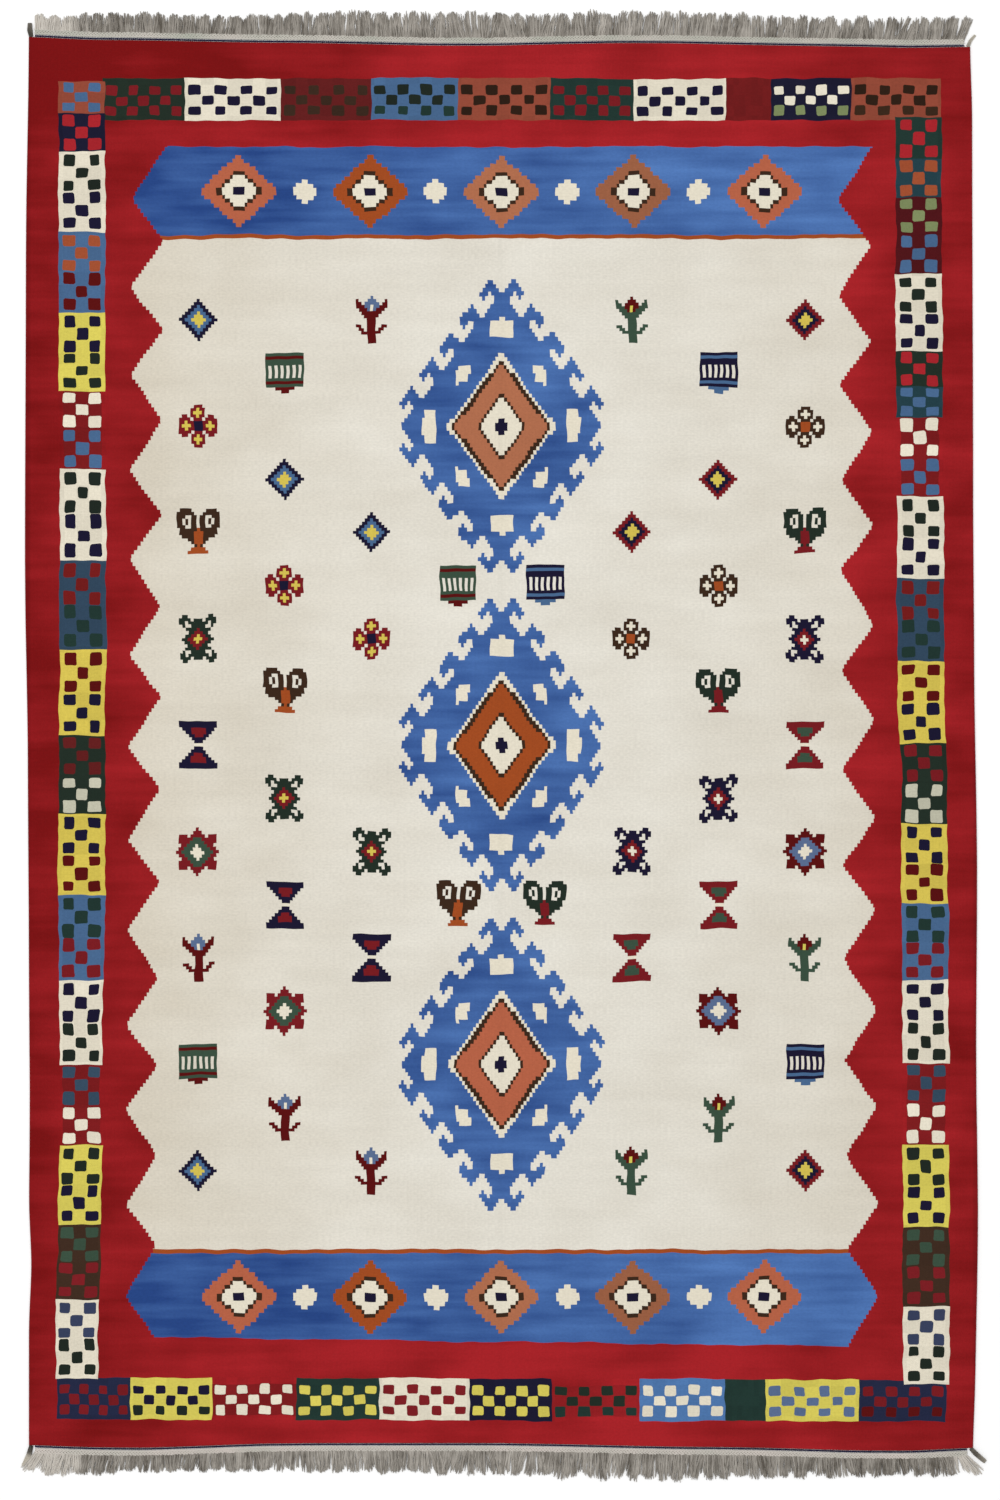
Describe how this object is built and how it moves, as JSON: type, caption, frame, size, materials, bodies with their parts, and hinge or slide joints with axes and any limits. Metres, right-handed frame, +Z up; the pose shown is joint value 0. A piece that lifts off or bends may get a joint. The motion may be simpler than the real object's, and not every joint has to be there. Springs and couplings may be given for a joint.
{
  "type": "kilim rug",
  "caption": "Flat tapestry-woven wool rug with a checkered block border, a serrated pale field, twined and braided ends, and loose warp fringes at both ends.",
  "frame": {"origin": "under the middle of the whole rug, on the surface that it lies on", "axes": "+Z up out of the face, +Y to the rug's top end, +X to its right side seen from above"},
  "size_m": [1.4276, 2.1718, 0.004],
  "materials": {
    "woven_wool": "matt wool weft, ribbed across",
    "twined_cord": "matt twined wool",
    "warp_braid": "matt braided undyed yarn",
    "loose_warp": "soft loose undyed yarn",
    "edge_cord": "soft dark brown yarn"
  },
  "bodies": {
    "root": {"woven_body": "woven_wool", "twining_top": "twined_cord", "twining_bottom": "twined_cord", "braid_top": "warp_braid", "braid_bottom": "warp_braid", "fringe_top": "loose_warp", "fringe_bottom": "loose_warp", "tail_top_left": "edge_cord", "tail_top_right": "edge_cord", "tail_bottom_left": "edge_cord", "tail_bottom_right": "edge_cord"}
  },
  "joints": []
}
